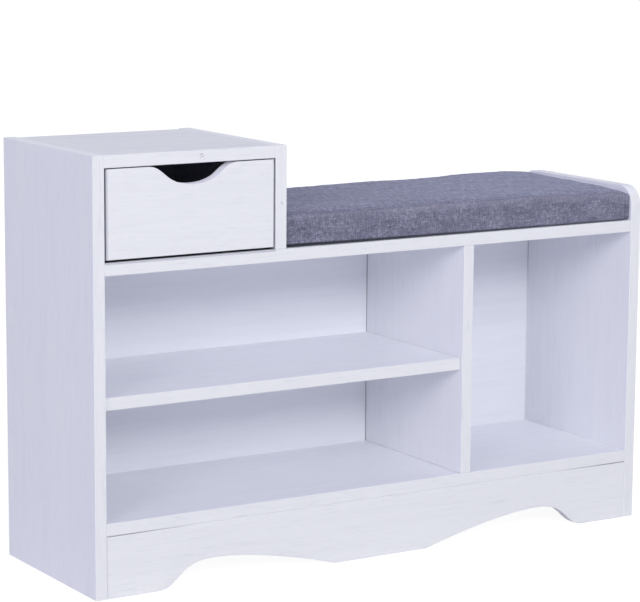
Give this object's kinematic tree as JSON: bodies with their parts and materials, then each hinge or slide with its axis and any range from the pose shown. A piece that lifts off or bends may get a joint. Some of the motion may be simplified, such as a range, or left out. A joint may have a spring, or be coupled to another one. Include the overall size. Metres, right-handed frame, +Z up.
{
  "type": "entryway bench",
  "caption": "Shoe storage bench with a drawer tower at one end, open compartments, a shaped front skirt and a loose linen seat cushion.",
  "frame": {"origin": "on the floor, under the middle of the bench's overall box", "axes": "+X along the bench, from the drawer tower to the right-hand panel; +Y towards the wall behind; +Z up"},
  "size_m": [0.8, 0.24, 0.524],
  "materials": {
    "melamine": "white melamine board with a faint embossed wood grain, satin",
    "drawer_board": "plain white board, matte",
    "hardboard": "thin white-faced hardboard, matte",
    "coated_steel": "white epoxy coated sheet steel",
    "nylon": "white nylon",
    "zinc": "zinc die casting and zinc plated steel",
    "beech": "fluted beech, raw",
    "linen": "heathered blue-grey linen weave",
    "foam": "open-cell foam",
    "zip_tape": "woven zip tape with a nylon coil"
  },
  "bodies": {
    "carcass": {"back_panel_left": "hardboard", "back_panel_right": "hardboard", "back_panel_tower": "hardboard", "bottom_board": "melamine", "cabinet_runner_left": "coated_steel", "cabinet_runner_right": "coated_steel", "cam_bottom_left_front": "zinc", "cam_bottom_left_rear": "zinc", "cam_bottom_right_front": "zinc", "cam_bottom_right_rear": "zinc", "cam_seat_left_front": "zinc", "cam_seat_left_rear": "zinc", "cam_seat_right_front": "zinc", "cam_seat_right_rear": "zinc", "cam_skirt_left": "zinc", "cam_skirt_right": "zinc", "cam_tower_left_front": "zinc", "cam_tower_left_rear": "zinc", "cam_tower_right_front": "zinc", "cam_tower_right_rear": "zinc", "centre_divider": "melamine", "dowel_skirt_left": "beech", "dowel_skirt_right": "beech", "front_skirt": "melamine", "left_side_panel": "melamine", "middle_shelf": "melamine", "right_side_panel": "melamine", "screw_centre_bottom_front": "zinc", "screw_centre_bottom_rear": "zinc", "screw_centre_top_front": "zinc", "screw_centre_top_rear": "zinc", "screw_tower_front": "zinc", "screw_tower_rear": "zinc", "seat_board": "melamine", "shelf_pin_left_front": "zinc", "shelf_pin_left_rear": "zinc", "shelf_pin_right_front": "zinc", "shelf_pin_right_rear": "zinc", "tower_divider": "melamine", "tower_top": "melamine"},
    "drawer": {"drawer_front": "melamine", "drawer_side_left": "drawer_board", "drawer_side_right": "drawer_board", "drawer_back": "drawer_board", "drawer_bottom": "hardboard", "drawer_runner_left": "coated_steel", "drawer_runner_right": "coated_steel"},
    "cabinet_roller_left": {"cabinet_roller_left": "nylon"},
    "cabinet_roller_right": {"cabinet_roller_right": "nylon"},
    "drawer_roller_left": {"drawer_roller_left": "nylon"},
    "drawer_roller_right": {"drawer_roller_right": "nylon"},
    "cushion": {"cushion_cover": "linen", "cushion_foam": "foam", "cushion_zip": "zip_tape"}
  },
  "joints": [
    {"name": "drawer_slide", "type": "slide", "parent": "carcass", "child": "drawer", "axis": [0, -1, 0], "range_m": [0, 0.15]},
    {"name": "cabinet_roller_left_spin", "type": "hinge", "parent": "carcass", "child": "cabinet_roller_left", "pos_m": [-0.3803, -0.093, 0.4275], "axis": [1, 0, 0], "range_deg": [0, 960]},
    {"name": "cabinet_roller_right_spin", "type": "hinge", "parent": "carcass", "child": "cabinet_roller_right", "pos_m": [-0.1612, -0.093, 0.4275], "axis": [1, 0, 0], "range_deg": [0, 960]},
    {"name": "drawer_roller_left_spin", "type": "hinge", "parent": "drawer", "child": "drawer_roller_left", "pos_m": [-0.3772, 0.085, 0.4225], "axis": [1, 0, 0], "range_deg": [0, 960]},
    {"name": "drawer_roller_right_spin", "type": "hinge", "parent": "drawer", "child": "drawer_roller_right", "pos_m": [-0.1643, 0.085, 0.4225], "axis": [1, 0, 0], "range_deg": [0, 960]},
    {"name": "cushion_lift", "type": "slide", "parent": "carcass", "child": "cushion", "axis": [0, 0, 1], "range_m": [0, 0.15]}
  ],
  "couplings": [
    {"joint": "cabinet_roller_left_spin", "follows": "drawer_slide", "rad_per_m": 111.11},
    {"joint": "cabinet_roller_right_spin", "follows": "drawer_slide", "rad_per_m": 111.11},
    {"joint": "drawer_roller_left_spin", "follows": "drawer_slide", "rad_per_m": 111.11},
    {"joint": "drawer_roller_right_spin", "follows": "drawer_slide", "rad_per_m": 111.11}
  ]
}
